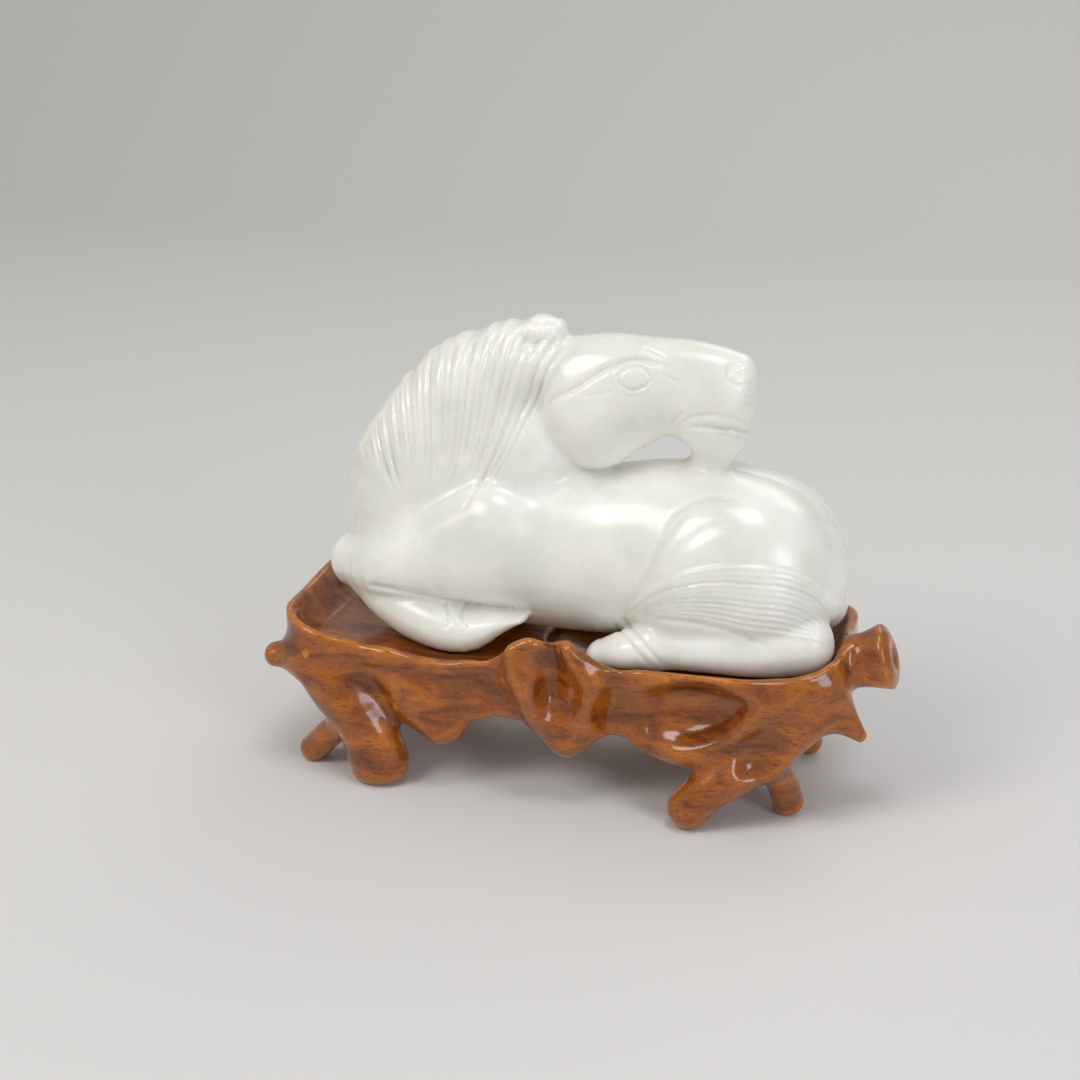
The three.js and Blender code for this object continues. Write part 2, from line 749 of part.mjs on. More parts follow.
// Merges the edges whose loss changes the surface least, until only `target` triangles are left.
function thin({ corners, triangles }, target) {
  const place = corners.map((p) => [...p]);
  const faces = triangles.map((t) => [...t]);
  const around = place.map(() => new Set());
  const error = place.map(() => new Float64Array(10));
  const stamp = new Int32Array(place.length);
  const normalOf = ([a, b, c]) => {
    const u = [0, 1, 2].map((i) => b[i] - a[i]);
    const v = [0, 1, 2].map((i) => c[i] - a[i]);
    return [u[1] * v[2] - u[2] * v[1], u[2] * v[0] - u[0] * v[2], u[0] * v[1] - u[1] * v[0]];
  };
  faces.forEach((face, f) => {
    const n = normalOf(face.map((i) => place[i]));
    const twice = Math.hypot(...n);
    for (const i of face) around[i].add(f);
    if (twice < 1e-12) return;
    const [a, b, c] = n.map((v) => v / twice);
    const d = -(a * place[face[0]][0] + b * place[face[0]][1] + c * place[face[0]][2]);
    const terms = [a * a, a * b, a * c, a * d, b * b, b * c, b * d, c * c, c * d, d * d];
    for (const i of face) terms.forEach((t, k) => (error[i][k] += t * twice));
  });
  const errorAt = (q, [x, y, z]) =>
    q[0] * x * x + 2 * q[1] * x * y + 2 * q[2] * x * z + 2 * q[3] * x + q[4] * y * y +
    2 * q[5] * y * z + 2 * q[6] * y + q[7] * z * z + 2 * q[8] * z + q[9];
  const plan = (a, b) => {
    const q = error[a].map((v, k) => v + error[b][k]);
    const middle = place[a].map((v, i) => (v + place[b][i]) / 2);
    const length = Math.hypot(...place[a].map((v, i) => v - place[b][i]));
    const options = [middle, place[a], place[b]];
    const m = new THREE.Matrix3().set(q[0], q[1], q[2], q[1], q[4], q[5], q[2], q[5], q[7]);
    const size = (q[0] + q[4] + q[7]) / 3;
    if (Math.abs(m.determinant()) > 1e-4 * size ** 3) {
      const best = new THREE.Vector3(-q[3], -q[6], -q[8]).applyMatrix3(m.invert()).toArray();
      if (Math.hypot(...best.map((v, i) => v - middle[i])) < 2 * length) options.unshift(best);
    }
    const costs = options.map((o) => errorAt(q, o));
    const pick = costs.indexOf(Math.min(...costs));
    return { a, b, to: options[pick], cost: costs[pick] + 1e-4 * length ** 3 };
  };
  const queue = [];
  const swap = (i, j) => ([queue[i], queue[j]] = [queue[j], queue[i]]);
  const push = (item) => {
    let i = queue.push(item) - 1;
    while (i && queue[i].cost < queue[(i - 1) >> 1].cost) {
      swap(i, (i - 1) >> 1);
      i = (i - 1) >> 1;
    }
  };
  const pop = () => {
    const top = queue[0];
    const last = queue.pop();
    if (queue.length) {
      queue[0] = last;
      for (let i = 0; ; ) {
        let low = i;
        for (const j of [2 * i + 1, 2 * i + 2]) {
          if (j < queue.length && queue[j].cost < queue[low].cost) low = j;
        }
        if (low === i) break;
        swap(i, low);
        i = low;
      }
    }
    return top;
  };
  const neighbours = (i) => new Set([...around[i]].flatMap((f) => faces[f]).filter((n) => n !== i));
  const offer = (a, b) => push({ ...plan(a, b), seen: stamp[a] + stamp[b] });
  faces.forEach((face) => {
    face.forEach((a, i) => {
      const b = face[(i + 1) % 3];
      if (a < b) offer(a, b);
    });
  });
  let left = faces.length;
  while (left > target && queue.length) {
    const { a, b, to, seen } = pop();
    if (!around[a] || !around[b] || seen !== stamp[a] + stamp[b]) continue;
    const nextTo = neighbours(a);
    const shared = [...neighbours(b)].filter((n) => nextTo.has(n));
    const kept = [...around[a], ...around[b]].filter((f) => !(faces[f].includes(a) && faces[f].includes(b)));
    if (shared.length !== 2 || kept.length < 3) continue;
    const folds = kept.some((f) => {
      const before = normalOf(faces[f].map((i) => place[i]));
      const after = normalOf(faces[f].map((i) => (i === a || i === b ? to : place[i])));
      const turn = before[0] * after[0] + before[1] * after[1] + before[2] * after[2];
      return turn <= 0.25 * Math.hypot(...before) * Math.hypot(...after);
    });
    if (folds) continue;
    for (const f of [...around[b]]) {
      if (faces[f].includes(a)) {
        for (const i of faces[f]) around[i].delete(f);
        faces[f] = null;
        left--;
      } else {
        faces[f][faces[f].indexOf(b)] = a;
        around[a].add(f);
      }
    }
    around[b] = null;
    place[a] = to;
    error[b].forEach((v, k) => (error[a][k] += v));
    stamp[a] += 1;
    for (const n of neighbours(a)) offer(a, n);
  }
  return { corners: place, triangles: faces.filter(Boolean) };
}

// Solids

function solidOf({ corners, triangles }) {
  return new wasm.Manifold(
    new wasm.Mesh({
      numProp: 3,
      vertProperties: new Float32Array(corners.flat()),
      triVerts: new Uint32Array(triangles.flat()),
    }),
  );
}

function geometryOf(solid) {
  const { vertProperties, triVerts } = solid.getMesh();
  const geometry = new THREE.BufferGeometry();
  geometry.setAttribute("position", new THREE.BufferAttribute(vertProperties, 3));
  geometry.setIndex(new THREE.BufferAttribute(triVerts, 1));
  return geometry;
}

function solidOfBlockBelow(height) {
  const size = 4 * TRAY_LENGTH;
  const box = new THREE.BoxGeometry(size, size, size);
  box.translate(0, 0, height - size / 2);
  box.deleteAttribute("normal");
  box.deleteAttribute("uv");
  const joined = mergeVertices(box);
  return new wasm.Manifold(
    new wasm.Mesh({
      numProp: 3,
      vertProperties: new Float32Array(joined.attributes.position.array),
      triVerts: new Uint32Array(joined.index.array),
    }),
  );
}

// The two pieces

// A carved piece from its field, within a box, with its underside cut flat at `ground` if one is given.
function carved(field, low, high, cell, triangles, ground) {
  const surface = thin(surfaceOf(field, low, high, cell), triangles);
  const solid = solidOf(surface);
  return ground === undefined ? solid : solid.subtract(solidOfBlockBelow(ground));
}

function piece(name, solid, material) {
  const mesh = new THREE.Mesh(geometryOf(solid), material);
  mesh.name = name;
  return mesh;
}

const jade = carved(
  horseField,
  [HORSE_OFFSET - 0.54 * HORSE_LENGTH, -0.25 * HORSE_LENGTH, horseBase - 0.04 * HORSE_LENGTH],
  [HORSE_OFFSET + 0.54 * HORSE_LENGTH, 0.25 * HORSE_LENGTH, horseBase + 0.68 * HORSE_LENGTH],
  HORSE_CELL,
  HORSE_TRIANGLE_COUNT,
);
const wood = carved(
  standField,
  [-0.575 * TRAY_LENGTH, -0.715 * TRAY_DEPTH, -0.12 * STAND_HEIGHT],
  [0.635 * TRAY_LENGTH, 0.715 * TRAY_DEPTH, 1.55 * STAND_HEIGHT],
  STAND_CELL,
  STAND_TRIANGLE_COUNT,
  0,
);
const whole = new THREE.Group();
whole.add(
  piece("jade_horse", jade, new THREE.MeshStandardMaterial({ color: 0xdfe0d3, roughness: 0.22 })),
  piece("wood_stand", wood, new THREE.MeshStandardMaterial({ color: 0x6b3514, roughness: 0.3 })),
);
const middle = new THREE.Box3().setFromObject(whole).getCenter(new THREE.Vector3());
for (const mesh of whole.children) mesh.geometry.translate(-middle.x, -middle.y, 0);

export default whole;
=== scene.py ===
# %% [markdown]
# # A jade horse on its carved stand
#
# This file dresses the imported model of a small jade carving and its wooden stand. The frame is loaded first,
# and its two solids say where everything goes. They are faceted and carry only the larger carving, so each is
# then remade as a fine mesh that follows the same form and carries the combed hair, the face and the polish.

# %% Load the frame
import math
import bmesh
import bpy
import numpy as np
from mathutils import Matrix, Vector


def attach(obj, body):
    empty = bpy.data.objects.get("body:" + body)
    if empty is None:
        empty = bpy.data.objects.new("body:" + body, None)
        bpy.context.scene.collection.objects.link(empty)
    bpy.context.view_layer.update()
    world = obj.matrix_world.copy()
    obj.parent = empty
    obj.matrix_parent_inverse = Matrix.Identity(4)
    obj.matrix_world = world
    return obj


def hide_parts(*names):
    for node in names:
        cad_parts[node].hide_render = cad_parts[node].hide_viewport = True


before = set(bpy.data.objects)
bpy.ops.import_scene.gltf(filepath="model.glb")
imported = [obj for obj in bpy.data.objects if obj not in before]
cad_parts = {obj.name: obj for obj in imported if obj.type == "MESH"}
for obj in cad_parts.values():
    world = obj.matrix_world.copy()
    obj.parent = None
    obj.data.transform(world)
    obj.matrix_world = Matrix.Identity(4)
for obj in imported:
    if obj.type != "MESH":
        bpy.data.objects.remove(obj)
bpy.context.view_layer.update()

# %% [markdown]
# # Where things lie
#
# The forms are drawn in millimetres about the middle of the tray, and the frame's origin is the middle of the
# box around everything, so one shift links the two. The horse has a drawing of its own, in hundredths of its
# length, which is one millimetre here.

# %% Sizes shared with the solids
MM = 0.001
HORSE_LENGTH = 100
HORSE_OFFSET = 1.5
STAND_HEIGHT = 25.7
TRAY_LENGTH = 105
TRAY_DEPTH = 42
TRAY_CORNER = 9
RIM_WIDTH = 1.6
RIM_SLOPE_RATIO = 0.6
FLOOR_THICKNESS = 6.5
APRON_THICKNESS = 6.5
BACK_CLOSER_RATIO = 1.08
APRON_LEAN_RATIO = 0.16
LEAN_TOP = 26
SEAT_GAP = 0.4
DRAWING_SHIFT = np.array([2.9811, -0.0292, 0.0])
horse_base = STAND_HEIGHT + 0.75 * SEAT_GAP
horse_origin = np.array([HORSE_OFFSET, 0, horse_base]) - DRAWING_SHIFT
print("the horse's drawing starts at", horse_origin, "mm")

# %% [markdown]
# # The camera
#
# The photograph looks down a little on the near flank, from slightly towards the rump. At this distance the
# camera sees the horse's proportions with mild perspective. It is placed by its direction, its distance and
# the point that it looks at.

# %% Place the camera
CAMERA_TURN = 15
CAMERA_RISE = 20
CAMERA_DISTANCE = 353
FOCAL_PIXELS = 1880
FRAME_PIXELS = 1080
SENSOR = 36
turn = math.radians(CAMERA_TURN)
rise = math.radians(CAMERA_RISE)
target = (np.array([-6.4, 0, 44.1]) - DRAWING_SHIFT) * MM
away = np.array([math.sin(turn) * math.cos(rise), -math.cos(turn) * math.cos(rise), math.sin(rise)])
camera = bpy.data.objects.new("camera", bpy.data.cameras.new("camera"))
camera.data.sensor_width = SENSOR
camera.data.lens = FOCAL_PIXELS * SENSOR / FRAME_PIXELS
camera.data.clip_start = 0.01
camera.location = Vector(target + away * CAMERA_DISTANCE * MM)
camera.rotation_euler = Vector(-away).to_track_quat("-Z", "Y").to_euler()
bpy.context.collection.objects.link(camera)
bpy.context.scene.camera = camera
print("camera at", [round(v, 4) for v in camera.location], "lens", round(camera.data.lens, 2))

# %% [markdown]
# # Forms as fields
#
# A carved figure has no flat sides or true circles to model from. What it has is masses that flow into each
# other, so it is written as a field: a function that is negative inside the form, and that is about the
# distance to the surface elsewhere. Taking the smaller of two fields joins two masses, and rounding that
# minimum gives the soft seam that polishing leaves.

# %% Join, cut and ease
def join(a, b, blend):
    near = np.maximum(blend - np.abs(a - b), 0) / blend
    return np.minimum(a, b) - near * near * blend / 4


def cut(a, b, blend):
    return -join(-a, b, blend)


def share(a, b, blend):
    return -join(-a, -b, blend)


def ease(start, end, value):
    t = np.clip((value - start) / (end - start), 0, 1)
    return t * t * (3 - 2 * t)


def groove(distance, width, depth):
    return depth * np.exp(-((distance / width) ** 2))


print("two fields 1 mm apart join into", join(np.array([0.5]), np.array([-0.5]), 2)[0], "mm")

# %% [markdown]
# # Masses
#
# An ellipsoid makes a muscle or a cheek. A limb is an ellipse swept along a spline, with its own width and
# height at each station. Far from a mass its exact distance is of no use, so only points near it are worked
# out, which keeps this quick.

# %% Ellipsoids and limbs
SPLINE_STEP_COUNT = 4
LIMB_MARGIN = 7
FAR = 30.0
TINY = 1e-9


def ellipsoid_distance(u, v, w, a, b, c):
    inner = np.sqrt((u / a) ** 2 + (v / b) ** 2 + (w / c) ** 2)
    slope = np.sqrt((u / a**2) ** 2 + (v / b**2) ** 2 + (w / c**2) ** 2)
    return inner * (inner - 1) / np.maximum(slope, TINY)


def blob(centre, radii, tilt=0):
    cos = math.cos(math.radians(tilt))
    sin = math.sin(math.radians(tilt))

    def field(p):
        d = p - np.array(centre)
        u = d[:, 0] * cos + d[:, 2] * sin
        w = d[:, 2] * cos - d[:, 0] * sin
        return ellipsoid_distance(u, d[:, 1], w, *radii)

    return field


def spline(points, steps):
    """Points along a smooth curve through these ones, with this many steps between each two."""
    points = np.array(points, float)
    before = np.vstack([2 * points[0] - points[1], points, 2 * points[-1] - points[-2]])
    dots = []
    for i in range(len(points) - 1):
        p0, p1, p2, p3 = before[i : i + 4]
        for t in np.arange(steps) / steps:
            start = (p2 - p0) / 2
            end = (p3 - p1) / 2
            dots.append(
                (2 * t**3 - 3 * t**2 + 1) * p1
                + (t**3 - 2 * t**2 + t) * start
                + (3 * t**2 - 2 * t**3) * p2
                + (t**3 - t**2) * end
            )
    return np.array(dots + [points[-1]])


def limb(stations, start_cap, end_cap):
    """A mass along [x, y, z, half width, half height] stations, with ends rounded over the caps."""
    fine = spline(stations, SPLINE_STEP_COUNT)
    halfway = spline(stations, 2 * SPLINE_STEP_COUNT)[:, :3]
    at, half = fine[:, :3], fine[:, 3:]
    last = len(at) - 1
    ahead = np.array([halfway[min(2 * i + 1, 2 * last)] for i in range(last + 1)])
    behind = np.array([halfway[max(2 * i - 1, 0)] for i in range(last + 1)])
    along = ahead - behind
    along /= np.linalg.norm(along, axis=1)[:, None]
    across = np.array([0, 1, 0]) - along * along[:, 1:2]
    across /= np.linalg.norm(across, axis=1)[:, None]
    up = np.cross(along, across)
    reach = half.max() + LIMB_MARGIN
    low = at.min(0) - reach
    high = at.max(0) + reach

    def field(p):
        result = np.full(len(p), FAR)
        near = ((p > low) & (p < high)).all(1)
        q = p[near]
        if not len(q):
            return result
        best = np.full(len(q), np.inf)
        first = np.zeros(len(q), int)
        part = np.zeros(len(q))
        for i in range(last):
            leg = at[i + 1] - at[i]
            t = np.clip((q - at[i]) @ leg / (leg @ leg), 0, 1)
            gap = ((q - at[i] - t[:, None] * leg) ** 2).sum(1)
            closer = gap < best
            best[closer] = gap[closer]
            first[closer] = i
            part[closer] = t[closer]

        def mix(values):
            a, b = values[first], values[first + 1]
            weight = part if values.ndim == 1 else part[:, None]
            return a + (b - a) * weight

        d = q - mix(at)
        v = (d * mix(across)).sum(1)
        w = (d * mix(up)).sum(1)
        past = (d * mix(along)).sum(1)
        size = mix(half)
        start = (first == 0) & (part == 0) & (past < 0)
        end = (first == last - 1) & (part == 1) & (past > 0)
        stretch = np.where(start | end, 1, np.sqrt(best) / np.maximum(np.hypot(v, w), TINY))
        cap = np.where(start, start_cap, np.where(end, end_cap, 1.0))
        past = np.where(start | end, past, 0)
        result[near] = ellipsoid_distance(past, v * stretch, w * stretch, cap, *size.T)
        return result

    return field


print("a limb of radius 2, measured 1 mm outside:",
      limb([[0, 0, 0, 2, 2], [10, 0, 0, 2, 2]], 2, 2)(np.array([[5.0, 3.0, 0.0]])))

# %% [markdown]
# # Lines that are carved
#
# A carver draws the brow, the mouth and the folds of the legs as lines on the side of the stone. So a carved
# line is a curve in the side view, and what counts is how far a point lies from it there. The sign says on
# which side.

# %% Distance to a carved line
def along_line(points, x, z):
    """How far each point lies from a line, and how far along it the nearest place is, from 0 to 1."""
    dots = spline(points, SPLINE_STEP_COUNT)
    nearest = np.full(len(x), np.inf)
    place = np.zeros(len(x))
    for i, (a, b) in enumerate(zip(dots[:-1], dots[1:])):
        bx, bz = b - a
        px, pz = x - a[0], z - a[1]
        t = np.clip((px * bx + pz * bz) / (bx * bx + bz * bz), 0, 1)
        gap = np.hypot(px - t * bx, pz - t * bz)
        gap = np.where(bx * pz - bz * px > 0, -gap, gap)
        closer = np.abs(gap) < np.abs(nearest)
        nearest[closer] = gap[closer]
        place[closer] = (i + t[closer]) / (len(dots) - 1)
    return nearest, place


def carved_line(points):
    return lambda x, z: along_line(points, x, z)[0]


def stroke(points, width, depth):
    """A groove along a line, which runs out to nothing at both ends."""

    def cut_depth(x, z):
        gap, place = along_line(points, x, z)
        return groove(gap, width, depth) * ease(0, 0.2, place) * ease(1, 0.8, place)

    return cut_depth


def profile(points):
    """A height for each x, eased between the points [x, z]."""
    xs, zs = np.array(points, float).T

    def height(x):
        i = np.clip(np.searchsorted(xs, x, side="right") - 1, 0, len(xs) - 2)
        t = np.clip((x - xs[i]) / (xs[i + 1] - xs[i]), 0, 1)
        return zs[i] + (zs[i + 1] - zs[i]) * (0.6 * t * t * (3 - 2 * t) + 0.4 * t)

    return height


level_line = carved_line([[0, 0], [5, 0], [10, 0]])
print("distance to a line from 1 mm above it:", level_line(np.array([5.0]), np.array([1.0])))

# %% [markdown]
# # The horse's body
#
# The barrel, haunch and shoulder are broad masses, and the legs lie folded under them as slim ones. The far
# side mirrors the near one. The stations are read off the side of the animal, in hundredths of its length.

# %% Trunk and legs
trunk = limb([[-33, 0, 13, 10.5, 10], [-20, 0, 17.8, 13.5, 15], [-7, 0, 17.8, 14, 16], [6, 0, 17.8, 14, 16.1],
              [19, 0, 19, 14.5, 16.6], [31, 0, 17.2, 14, 15.8]], 9, 15.4)
shoulder = limb([[-43.2, -3, 12, 5.5, 5.5], [-35, -7, 13.5, 8, 7], [-25, -9, 17, 8, 9],
                 [-14, -9.5, 20.5, 7, 11]], 4.8, 9)
throat = blob([-11, -1, 36], [12, 9, 12], 30)
haunch = blob([32.5, -6, 18.6], [15.6, 11, 13], -22)
thigh = blob([23, -9.5, 15.5], [11, 8, 12.5], -25)
shank = limb([[17, -12, 4.8, 5, 4.4], [27, -12.5, 5.2, 5, 4.5], [36, -12, 5.6, 5, 5],
              [44.5, -11, 7, 5, 5.5]], 4, 4.5)
hind_hoof = limb([[7.4, -13, 2.3, 3.6, 2.4], [12, -13.2, 3.6, 4.6, 3.6], [17, -12.8, 5, 4.6, 4.4]], 3, 3)
foreleg = limb([[-42.2, -4, 11, 4.5, 3], [-35, -8.5, 7.5, 5, 4.4], [-27, -11.5, 5, 5, 4.9],
                [-19, -12.3, 3.8, 5, 4.2], [-12.5, -12, 6, 4.2, 2.3], [-8.4, -12, 7.2, 3.2, 0.9]], 4, 1.6)
tail_root = limb([[42.5, 0, 26, 3, 3], [46.5, -3, 20, 4.5, 3], [46, -6, 13.5, 5.5, 4]], 3, 3)
print("trunk, shoulder, throat, haunch, thigh, shank, hooves, foreleg and tail root are set out")

# %% [markdown]
# # Neck and head
#
# The neck arches up from the chest and the head turns back over the rump, so the two are separate masses that
# meet at the poll. The cheek is a disc that overlaps the throat with almost no rounding, which leaves the
# clean line of the jaw.

# %% Neck and head
neck = limb([[-31, 0, 16, 10, 11], [-31, 0, 27, 11, 14], [-26, -0.5, 37, 10.8, 13.1],
             [-20, -1, 45.5, 9.8, 11.8], [-12.5, -1.5, 51.5, 8.2, 9], [-6, -2, 53.5, 7, 5.2]], 8, 5)
skull = limb([[1, -2, 46.4, 7.8, 12], [8, -2, 48.5, 7.8, 11], [15, -2, 50, 7, 9], [22, -2, 50.3, 6.2, 8.3],
              [28.5, -2, 49.6, 5.6, 7.4]], 7, 3.6)
cheek = blob([2.5, -3.5, 44.5], [8.5, 6.5, 10.2], 25)
chin = limb([[24, -2, 45, 4.8, 6.9], [24.8, -1.8, 42, 4.6, 6.1], [24.7, -0.9, 39.6, 4.3, 4.7],
             [24.1, 0.3, 37.4, 4.2, 3.6], [23.6, 1.6, 34.5, 4.6, 3.6]], 3, 3)
forelock = limb([[-11.5, -2, 58, 5, 2.6], [-8, -2, 59.5, 4.6, 2.4], [-4.5, -2, 59, 4, 2.2]], 3, 2)


def horse_form(p):
    """The horse before any line is carved, at points in hundredths of its length."""
    flank = p.copy()
    flank[:, 1] = -np.abs(p[:, 1])
    jowl = p.copy()
    jowl[:, 1] = -2 - np.abs(p[:, 1] + 2)
    body = join(trunk(p), haunch(flank), 9)
    body = join(body, thigh(flank), 3)
    body = join(body, shoulder(flank), 4)
    body = join(body, join(neck(p), throat(p), 5), 2.5)
    body = join(body, tail_root(p), 2)
    legs = np.minimum(join(shank(flank), hind_hoof(flank), 2), foreleg(flank))
    body = join(body, legs, 1)
    body = join(body, forelock(p), 2)
    body = join(body, join(skull(p), cheek(jowl), 2), 1.6)
    return join(body, chin(p), 2.5)


print("the field at the middle of the barrel:", horse_form(np.array([[0.0, 0.0, 18.0]])))

# %% [markdown]
# # The horse's carving
#
# The carved lines are placed as they are seen from the camera's side: a point that stands out towards it is
# seen further left and lower. So each line is a curve in that slanted view, on a plane through the near cheek
# for the head and a plane through the near flank for the legs and the tail.

# %% The slanted view
SHEAR_X = math.tan(turn)
SHEAR_Z = math.tan(rise) / math.cos(turn)
HEAD_PLANE = -7
FLANK_PLANE = -10


def seen(p, plane):
    return p[:, 0] + SHEAR_X * (p[:, 1] - plane), p[:, 2] + SHEAR_Z * (p[:, 1] - plane)


print("a point 1 mm nearer is seen", round(SHEAR_X, 3), "mm further left and", round(SHEAR_Z, 3), "mm lower")

# %% The lines of the face
brow = stroke([[-4.8, 43], [-4.5, 46], [-3.3, 48], [0, 49.5], [3, 51.7], [6, 53.7], [8.5, 55.2],
               [10.5, 55.9], [13, 56], [16, 55.2], [19.8, 54.1]], 0.55, 0.55)
mouth = stroke([[20.2, 44.4], [23.5, 44.8], [27, 44.6], [30, 44.7], [36, 44.8]], 0.42, 0.6)
upper_lip = stroke([[19, 43.6], [19.8, 45], [21, 46], [23, 46.7], [26, 46.9], [29, 46.6],
                    [34, 46.4]], 0.36, 0.28)
lip_corner = stroke([[17.7, 44.3], [18.6, 45.8], [20.2, 47.1]], 0.36, 0.26)
lower_lip = stroke([[25.5, 43.8], [28.5, 43.5], [34, 43.1]], 0.36, 0.26)
temple_lines = [
    stroke([[12.7, 58.5], [14.8, 57.6], [17, 56.5]], 0.36, 0.24),
    stroke([[15.8, 53.9], [17.5, 53.1], [19.2, 52.2]], 0.36, 0.22),
    stroke([[1, 48.3], [4, 48.9], [8.6, 50.2]], 0.36, 0.16),
]
nostril_fold = stroke([[27.4, 53], [27.5, 55], [28.4, 56.4], [29.8, 56.9], [32, 56.5]], 0.34, 0.3)
poll_folds = [
    stroke([[-9.2, 62.1], [-6, 61.8], [-2.6, 62.1]], 0.45, 0.3),
    stroke([[-10.6, 59.8], [-8.4, 57.9], [-6.4, 57.3]], 0.45, 0.3),
    stroke([[-7.6, 57.3], [-5.4, 58.7], [-3.6, 61]], 0.45, 0.3),
]
face_lines = [brow, mouth, upper_lip, lip_corner, lower_lip, nostril_fold] + temple_lines + poll_folds
print(len(face_lines), "lines on each side of the head")

# %% The lines of the legs and the tail
thigh_edge = stroke([[31.5, 32.6], [28, 32.4], [24, 31.4], [20, 28.5], [17, 23], [14, 16],
                     [10.4, 9.5]], 0.75, 0.6)
thigh_echo = stroke([[31, 28.6], [26, 27], [22.5, 24.6], [19, 21], [16.8, 17]], 1.1, 0.16)
tail_top = carved_line([[51, 7], [49.5, 13], [46, 18], [40, 20.6], [34, 20.8], [27, 20.2], [20.5, 18.2],
                        [15, 15], [11, 10]])
tail_foot = carved_line([[51, 5], [47, 7.6], [40, 8], [32, 8.2], [25, 9.3], [16, 9.5], [11, 8.5]])
shank_fold = stroke([[15, 9], [20, 9.2], [26, 8.8], [31, 7.7], [38, 5]], 0.5, 0.4)
foreleg_fold = stroke([[-40, 10], [-34, 9.7], [-26, 9], [-16, 8.1], [-3, 7.8]], 0.5, 0.5)
knee_folds = [
    stroke([[-23.6, 8.4], [-22.6, 5.2], [-23.6, 2.4]], 0.36, 0.3),
    stroke([[-19.4, 8.4], [-20.2, 5.4], [-18.8, 2.8]], 0.36, 0.3),
]
hoof_cuts = [
    stroke([[10, 9], [12, 6.2], [14.6, 3.2], [18.6, -0.6]], 0.36, 0.34),
    stroke([[8.2, 7.8], [10.4, 5], [12.8, 2.2], [16, -0.8]], 0.36, 0.3),
]
low_lines = [shank_fold, foreleg_fold] + knee_folds + hoof_cuts
print(len(low_lines) + 2, "lines on the legs, and two that bound the tail")

# %% [markdown]
# # The combed mane and tail
#
# The carver's wheel has cut a fan of fine grooves that spread from low on the neck, each a little different
# in depth and length. They could be a bump map, but they catch the light at the edge of the neck too, so they
# are cut into the mesh. They stop short of the crest, which stays a smooth band with three nicks in its
# outline. The tail is a sheaf of the same grooves, raised a little from the thigh.

# %% Sizes of the hair
MANE_ROOT = (-25, 13)
MANE_MIDWAY = 36
CREST_NOTCHES = (-9.5, 7.5, 17)
HAIR_STEP = 2.35
LOCK_STEP = 5.6
HAIR_GROOVE = 0.34
LEAST_HAIR_DEPTH = 0.16
HAIR_DEPTH_SPREAD = 0.3
TAIL_HAIRS = 11
TAIL_RAISE = 0.5
print("hair grooves lie", round(math.radians(HAIR_STEP) * MANE_MIDWAY, 2), "mm apart half way up the mane")


# %% Mane and tail
def scatter(number, seed):
    """A fixed pick between 0 and 1 for each whole number."""
    return np.mod(np.sin(number * 12.9898 + seed * 78.233) * 43758.5453, 1)


def mane_carving(p):
    x, y, z = p.T
    outward = np.abs(y + 1)
    reach = np.hypot(x - MANE_ROOT[0], z - MANE_ROOT[1])
    angle = np.degrees(np.arctan2(x - MANE_ROOT[0], z - MANE_ROOT[1]))
    bent = angle + 1.2 * np.sin(reach * 0.16 + 0.5)
    hair = np.round(bent / HAIR_STEP)
    off = np.radians(np.abs(bent - (hair + 0.3 * scatter(hair, 3) - 0.15) * HAIR_STEP)) * reach
    start = 15 + 8 * scatter(hair, 1) + 8 * ease(-20, -45, angle)
    fan = ease(-56, -46, angle) * ease(31, 28, angle)
    within = ease(start, start + 5, reach) * fan * ease(3.4, 5.4, outward)
    lock = np.cos(np.radians(angle * 360 / LOCK_STEP)) * ease(-40, -27, angle)
    depth = LEAST_HAIR_DEPTH + HAIR_DEPTH_SPREAD * scatter(hair, 2)
    hairs = within * (groove(off, HAIR_GROOVE, depth) + 0.13 * (1 - lock))
    band = groove(outward - 4.6, 0.5, 0.22) * ease(-14, -24, angle) * ease(-56, -46, angle)
    nicks = sum(groove(angle - notch, 2, 0.8) for notch in CREST_NOTCHES) * ease(8, 3, np.abs(y))
    return np.where((z > 20) & (angle > -60) & (angle < 32), hairs + band + nicks, 0)


def tail_carving(p):
    x, z = seen(p, FLANK_PLANE)
    above, below = tail_top(x, z), tail_foot(x, z)
    across = np.where(above - below == 0, 1, above - below)
    part = above / across * TAIL_HAIRS
    number = np.round(part)
    strand = np.abs(part - number) * np.abs(across) / TAIL_HAIRS
    inside = ease(0.5, -0.5, above) * ease(-0.5, 0.5, below) * ease(50, 47, x)
    cuts = groove(strand, 0.3, 0.14 + 0.3 * scatter(number, 5))
    return np.where((p[:, 1] < 0) & (x > 5) & (z < 30), inside * (cuts - TAIL_RAISE), 0)


four = LEAST_HAIR_DEPTH + HAIR_DEPTH_SPREAD * scatter(np.arange(4), 2)
print("depths of four neighbouring hairs:", four.round(2), "mm")

# %% [markdown]
# # The face
#
# The eye is an almond, which is the overlap of two circles, with a thin ring around it and the brow drawn
# above. The nostril is a ring open to the front, and a row of small beads runs down the front of the muzzle
# below it.

# %% Face and legs
EYE = (11, 52.5)
EYE_HALF = (3.1, 2.2)
NOSTRIL = (29.6, 54.4)
NOSTRIL_RADIUS = 1.75
BEAD_STEP = 1.15


